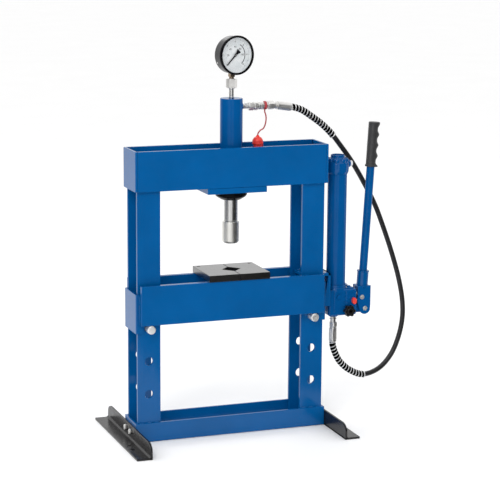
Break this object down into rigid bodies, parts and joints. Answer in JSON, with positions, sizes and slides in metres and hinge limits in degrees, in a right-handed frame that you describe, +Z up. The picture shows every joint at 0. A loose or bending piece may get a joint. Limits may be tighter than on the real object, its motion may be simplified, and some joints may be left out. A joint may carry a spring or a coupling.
{
  "type": "bench hydraulic shop press with hand pump",
  "caption": "Bench hydraulic press: welded frame, pinned bed with notched press plates, spring-return cylinder with gauge, and a side hand pump joined by a hose.",
  "frame": {"origin": "bottom centre of the bounding box of all that stands rigid (without the hose, its spring guards and the dust cap with its strap)", "axes": "+Z up; -Y towards the front, where the dial faces and the bed pins are pulled out; +X to the operator's right, where the hand pump hangs"},
  "size_m": [0.8115, 0.381, 1.0145],
  "materials": {
    "blue_paint": "satin",
    "pump_paint": "gloss",
    "black_paint": "satin",
    "black_oxide": "satin",
    "ground_steel": "satin",
    "zinc_plate": "satin",
    "brass": "satin",
    "rubber": "matte",
    "red_plastic": "gloss",
    "white_enamel": "satin",
    "gauge_black": "satin",
    "clear_lens": "gloss"
  },
  "bodies": {
    "press_frame": {"base_frame": "blue_paint", "bourdon_tube": "brass", "cap_strap": "red_plastic", "coupler_socket": "zinc_plate", "cylinder_barrel": "pump_paint", "cylinder_plate": "blue_paint", "dust_cap": "red_plastic", "foot_bolt_left_front": "zinc_plate", "foot_bolt_left_rear": "zinc_plate", "foot_bolt_right_front": "zinc_plate", "foot_bolt_right_rear": "zinc_plate", "foot_left": "black_paint", "foot_right": "black_paint", "fulcrum_pin": "zinc_plate", "gauge_adapter": "zinc_plate", "gauge_bezel": "black_paint", "gauge_case": "gauge_black", "gauge_dial": "white_enamel", "gauge_lens": "clear_lens", "gauge_stem": "brass", "head_front_plate": "blue_paint", "head_left_plate": "blue_paint", "head_rear_plate": "blue_paint", "head_right_plate": "blue_paint", "hose": "rubber", "hose_end_lower": "zinc_plate", "hose_end_upper": "zinc_plate", "lock_ring": "black_paint", "port_nipple": "zinc_plate", "pump_body": "pump_paint", "pump_bracket": "blue_paint", "relief_valve_cap": "red_plastic", "reservoir_cap": "pump_paint", "reservoir_tube": "pump_paint", "spring_guard_lower": "ground_steel", "spring_guard_upper": "ground_steel", "strap_ring": "red_plastic", "upright_left_front": "blue_paint", "upright_left_rear": "blue_paint", "upright_right_front": "blue_paint", "upright_right_rear": "blue_paint"},
    "bed": {"bed_front_plate": "blue_paint", "bed_rear_plate": "blue_paint", "bed_left_bracket": "blue_paint", "bed_right_bracket": "blue_paint"},
    "left_bed_pin": {"bed_pin_left": "ground_steel"},
    "right_bed_pin": {"bed_pin_right": "ground_steel"},
    "left_press_plate": {"press_plate_left": "black_oxide"},
    "right_press_plate": {"press_plate_right": "black_oxide"},
    "ram": {"ram": "ground_steel", "ram_nose": "ground_steel", "return_spring": "ground_steel"},
    "gauge_needle": {"gauge_needle": "black_paint"},
    "pump_handle": {"handle_yoke": "pump_paint", "handle_tube": "pump_paint", "handle_grip": "rubber", "plunger_pin": "zinc_plate"},
    "pump_plunger": {"plunger": "ground_steel"},
    "release_knob": {"release_knob": "black_paint"},
    "filler_plug": {"filler_plug": "white_enamel"}
  },
  "joints": [
    {"name": "bed_lift", "type": "slide", "parent": "press_frame", "child": "bed", "axis": [0, 0, 1], "range_m": [0, 0.01]},
    {"name": "left_pin_pull", "type": "slide", "parent": "press_frame", "child": "left_bed_pin", "axis": [0, -1, 0], "range_m": [0, 0.12]},
    {"name": "right_pin_pull", "type": "slide", "parent": "press_frame", "child": "right_bed_pin", "axis": [0, -1, 0], "range_m": [0, 0.12]},
    {"name": "left_plate_slide", "type": "slide", "parent": "bed", "child": "left_press_plate", "axis": [-1, 0, 0], "range_m": [0, 0.05]},
    {"name": "right_plate_slide", "type": "slide", "parent": "bed", "child": "right_press_plate", "axis": [1, 0, 0], "range_m": [0, 0.05]},
    {"name": "ram_slide", "type": "slide", "parent": "press_frame", "child": "ram", "axis": [0, 0, 1], "range_m": [-0.055, 0.045], "stiffness_N_per_m": 1500, "springref_m": 0.045, "deforming": ["return_spring"]},
    {"name": "needle_turn", "type": "hinge", "parent": "press_frame", "child": "gauge_needle", "pos_m": [-0.0501, 0, 0.9655], "axis": [-0.225, 0.9744, 0], "range_deg": [0, 270]},
    {"name": "handle_swing", "type": "hinge", "parent": "press_frame", "child": "pump_handle", "pos_m": [0.3185, 0, 0.2962], "axis": [0, 1, 0], "range_deg": [0, 50]},
    {"name": "plunger_slide", "type": "slide", "parent": "press_frame", "child": "pump_plunger", "axis": [1, 0, 0], "range_m": [0, 0.028]},
    {"name": "release_turn", "type": "hinge", "parent": "press_frame", "child": "release_knob", "pos_m": [0.2654, -0.04, 0.2973], "axis": [0, -1, 0], "range_deg": [0, 270]},
    {"name": "filler_plug_pull", "type": "slide", "parent": "press_frame", "child": "filler_plug", "axis": [1, 0, 0], "range_m": [0, 0.014]}
  ],
  "couplings": [
    {"joint": "plunger_slide", "follows": "handle_swing", "m_per_rad": 0.0305}
  ]
}
